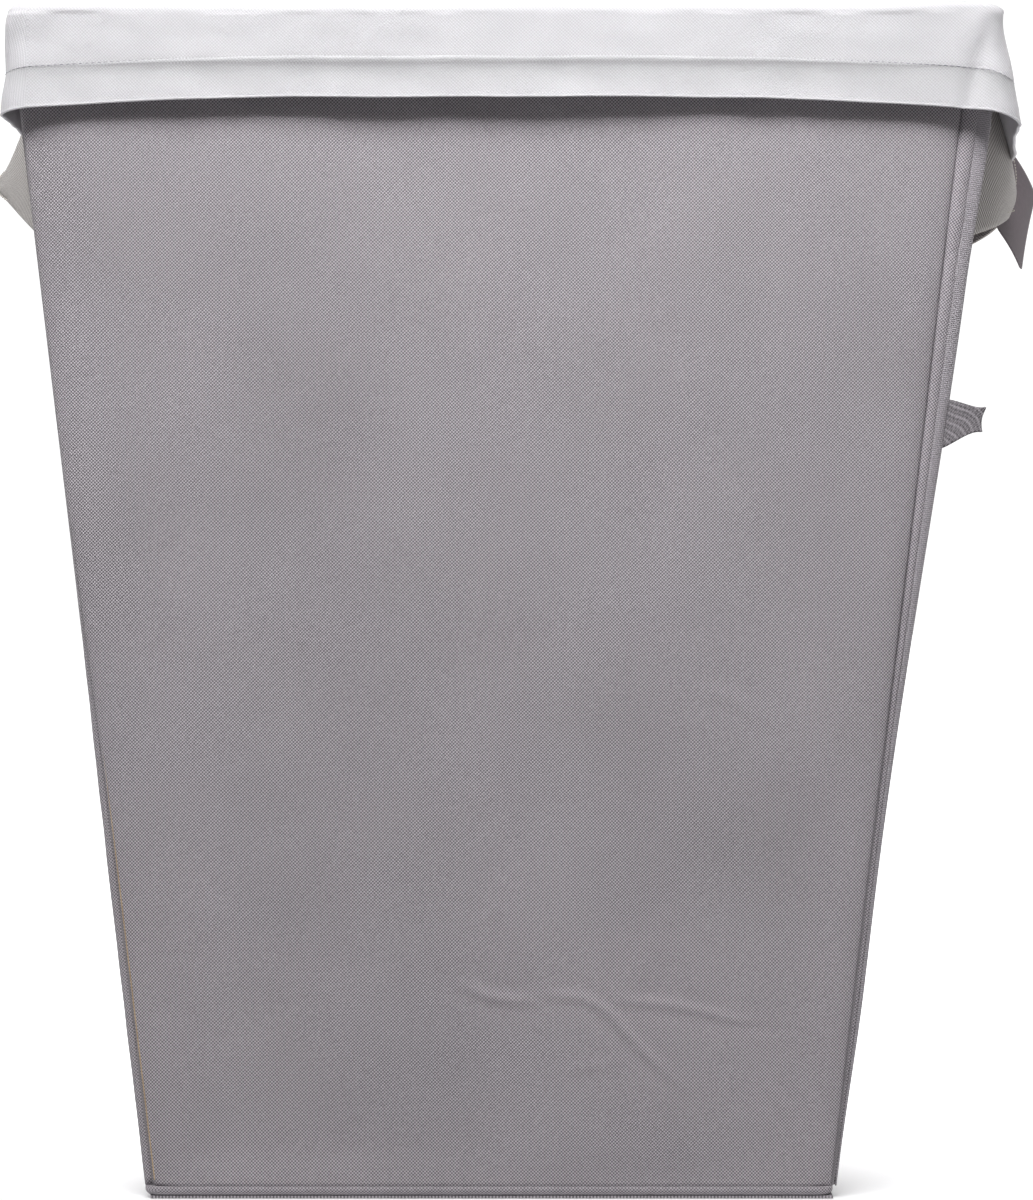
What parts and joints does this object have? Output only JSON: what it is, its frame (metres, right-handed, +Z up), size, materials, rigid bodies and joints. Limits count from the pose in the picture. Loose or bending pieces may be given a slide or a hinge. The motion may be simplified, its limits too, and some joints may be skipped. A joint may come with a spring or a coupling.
{
  "type": "laundry hamper",
  "caption": "Tapered fabric laundry hamper that folds flat, with a lift-out liner cuffed over the rim, a flip-up base board, webbing handles and a lid on a rear flap.",
  "frame": {"origin": "on the floor at the middle of the body's bottom face", "axes": "-Y is the front, +X is the right side seen from the front, +Z is up"},
  "size_m": [0.5869, 0.359, 0.6182],
  "materials": {
    "oxford_grey": "woven oxford cloth, fine diagonal dots",
    "lining_grey": "plain woven lining",
    "tape_grey": "ribbed grosgrain tape",
    "stiff_board": "pressed fibre board",
    "liner_white": "white woven oxford cloth",
    "webbing_beige": "twill webbing",
    "webbing_dark": "coarse webbing",
    "card": "matt coated card",
    "clear_plastic": "semi-clear plastic"
  },
  "bodies": {
    "back_and_floor": {"base_cover": "oxford_grey", "base_welt": "oxford_grey", "base_hinge_roll": "tape_grey", "back_cover": "oxford_grey", "back_board": "stiff_board", "back_lining": "lining_grey", "back_rim_tape": "tape_grey", "back_piping_left": "oxford_grey", "back_piping_right": "oxford_grey", "lid_flap": "oxford_grey", "lid_hinge_roll": "tape_grey"},
    "base_panel": {"base_board": "stiff_board", "base_pad": "lining_grey", "base_pull_strip": "webbing_dark"},
    "front": {"front_cover": "oxford_grey", "front_board": "stiff_board", "front_lining": "lining_grey", "front_rim_tape": "tape_grey", "front_piping_left": "oxford_grey", "front_piping_right": "oxford_grey", "seam_loop": "webbing_dark"},
    "right_rear": {"right_rear_cover": "oxford_grey", "right_rear_board": "stiff_board", "right_rear_lining": "lining_grey", "right_rear_rim_tape": "tape_grey", "right_centre_welt": "tape_grey", "right_rear_handle_patch": "webbing_beige"},
    "right_front": {"right_front_cover": "oxford_grey", "right_front_board": "stiff_board", "right_front_lining": "lining_grey", "right_front_rim_tape": "tape_grey", "right_edge_tape": "tape_grey", "right_front_handle_patch": "webbing_beige"},
    "left_rear": {"left_rear_cover": "oxford_grey", "left_rear_board": "stiff_board", "left_rear_lining": "lining_grey", "left_rear_rim_tape": "tape_grey", "left_centre_welt": "tape_grey", "left_rear_handle_patch": "webbing_beige"},
    "left_front": {"left_front_cover": "oxford_grey", "left_front_board": "stiff_board", "left_front_lining": "lining_grey", "left_front_rim_tape": "tape_grey", "left_edge_tape": "tape_grey", "left_front_handle_patch": "webbing_beige"},
    "left_handle": {"left_handle": "webbing_beige"},
    "right_handle": {"right_handle": "webbing_beige"},
    "tag": {"hang_tag": "card", "tag_fastener": "clear_plastic"},
    "lid": {"lid_top_cover": "oxford_grey", "lid_board": "stiff_board", "lid_lining": "lining_grey", "lid_binding": "tape_grey", "lid_pull_loop": "webbing_dark"},
    "liner": {"liner_bag": "liner_white", "liner_floor": "liner_white", "liner_cuff": "liner_white", "liner_hem": "liner_white"}
  },
  "joints": [
    {"name": "fold", "type": "hinge", "parent": "back_and_floor", "child": "right_rear", "pos_m": [0.20828, 0.1525, 0.3003], "axis": [-0.1184, 0, -0.993], "range_deg": [0, 90], "deforming": ["left_handle", "right_handle", "hang_tag", "tag_fastener", "liner_bag", "liner_floor", "liner_cuff", "liner_hem"]},
    {"name": "right_centre_fold", "type": "hinge", "parent": "right_rear", "child": "right_front", "pos_m": [0.21275, 0, 0.29976], "axis": [-0.1184, 0, -0.993], "range_deg": [-180, 0]},
    {"name": "front_fold", "type": "hinge", "parent": "right_front", "child": "front", "pos_m": [0.20828, -0.1525, 0.3003], "axis": [-0.1184, 0, -0.993], "range_deg": [0, 90]},
    {"name": "left_rear_fold", "type": "hinge", "parent": "back_and_floor", "child": "left_rear", "pos_m": [-0.20828, 0.1525, 0.3003], "axis": [-0.1184, 0, 0.993], "range_deg": [0, 90]},
    {"name": "left_centre_fold", "type": "hinge", "parent": "left_rear", "child": "left_front", "pos_m": [-0.21275, 0, 0.29976], "axis": [-0.1184, 0, 0.993], "range_deg": [-180, 0]},
    {"name": "base_flip", "type": "hinge", "parent": "back_and_floor", "child": "base_panel", "pos_m": [0, 0.1575, 0.0032], "axis": [-1, 0, 0], "range_deg": [0, 90]},
    {"name": "lid_hinge", "type": "hinge", "parent": "back_and_floor", "child": "lid", "pos_m": [0, 0.178, 0.617], "axis": [-1, 0, 0], "range_deg": [-270, 0]},
    {"name": "liner_lift", "type": "slide", "parent": "back_and_floor", "child": "liner", "axis": [0, 0, 1], "range_m": [0, 0.64]},
    {"name": "left_handle_swing", "type": "hinge", "parent": "left_rear", "child": "left_handle", "pos_m": [-0.2421, 0.077, 0.55489], "axis": [0, -1, 0], "range_deg": [-35, 0]},
    {"name": "right_handle_swing", "type": "hinge", "parent": "right_rear", "child": "right_handle", "pos_m": [0.2421, 0.077, 0.55489], "axis": [0, 1, 0], "range_deg": [-35, 0]},
    {"name": "tag_swing", "type": "hinge", "parent": "right_handle", "child": "tag", "pos_m": [0.279, 0.008, 0.527], "axis": [1, 0, 0], "range_deg": [-90, 30]}
  ],
  "couplings": [
    {"joint": "right_centre_fold", "follows": "fold", "ratio": -2},
    {"joint": "front_fold", "follows": "fold", "ratio": 1},
    {"joint": "left_rear_fold", "follows": "fold", "ratio": 1},
    {"joint": "left_centre_fold", "follows": "fold", "ratio": -2}
  ]
}
